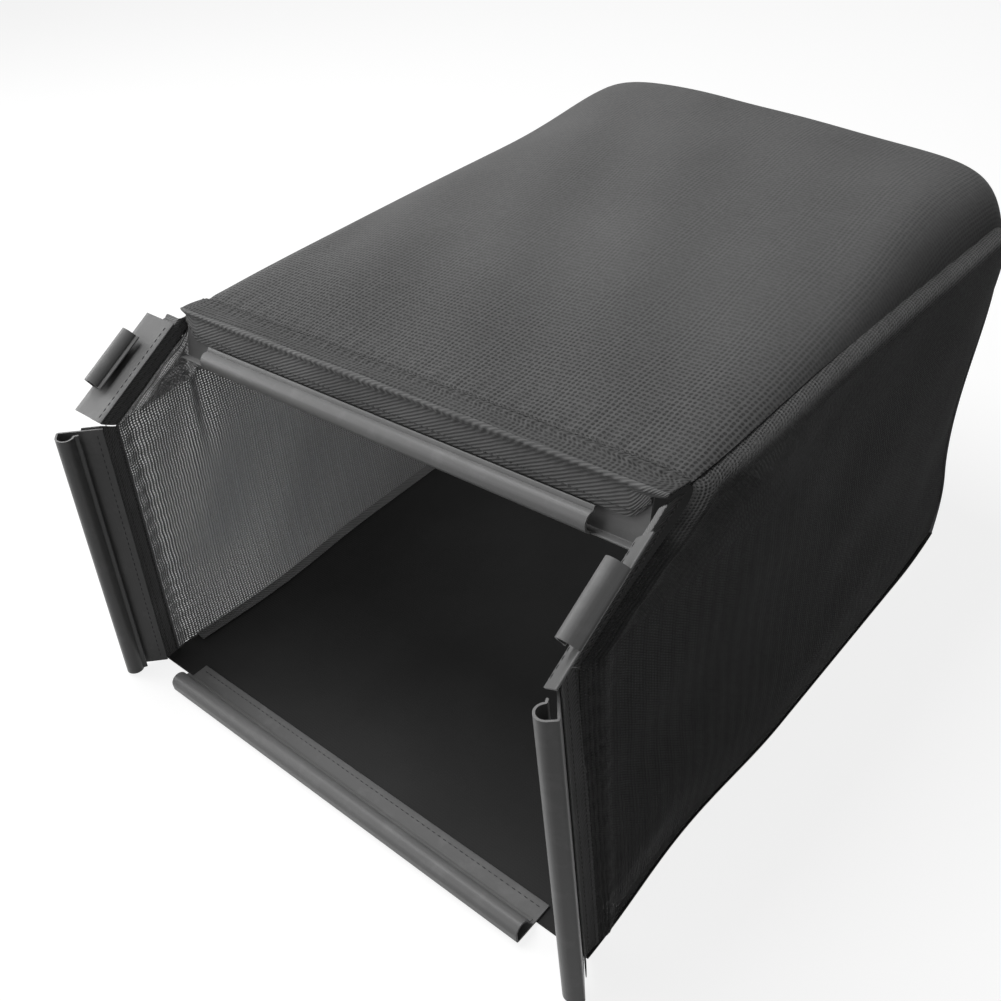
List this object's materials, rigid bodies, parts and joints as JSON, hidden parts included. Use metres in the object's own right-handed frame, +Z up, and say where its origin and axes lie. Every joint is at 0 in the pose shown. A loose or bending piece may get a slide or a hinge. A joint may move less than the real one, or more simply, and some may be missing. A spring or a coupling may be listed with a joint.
{
  "type": "mower grass collection bag",
  "caption": "Soft box-shaped bag of mesh cloth on a coated floor, open at the front, with press-fit channel clips sewn round its mouth.",
  "frame": {"origin": "middle of the floor's flat underside, at half of the floor's width and length", "axes": "+Z up; +Y from the mouth into the bag; +X to the right of someone who looks into the mouth"},
  "size_m": [0.4631, 0.6176, 0.2987],
  "materials": {
    "mesh_cloth": "matte warp-knit mesh",
    "coated_cloth": "smooth coated sheet",
    "clip_plastic": "satin, extruded",
    "binding_tape": "matte woven tape"
  },
  "bodies": {
    "root": {"roof_and_back_panel": "mesh_cloth", "floor_panel": "coated_cloth", "left_side_panel": "mesh_cloth", "right_side_panel": "mesh_cloth", "bottom_clip": "clip_plastic", "top_clip": "clip_plastic", "left_side_clip": "clip_plastic", "left_corner_clip": "clip_plastic", "left_side_tape": "binding_tape", "left_corner_tape": "binding_tape", "right_side_clip": "clip_plastic", "right_corner_clip": "clip_plastic", "right_side_tape": "binding_tape", "right_corner_tape": "binding_tape", "top_hem": "binding_tape", "left_roof_binding": "binding_tape", "right_roof_binding": "binding_tape", "left_floor_binding": "binding_tape", "right_floor_binding": "binding_tape", "back_floor_binding": "binding_tape"}
  },
  "joints": []
}
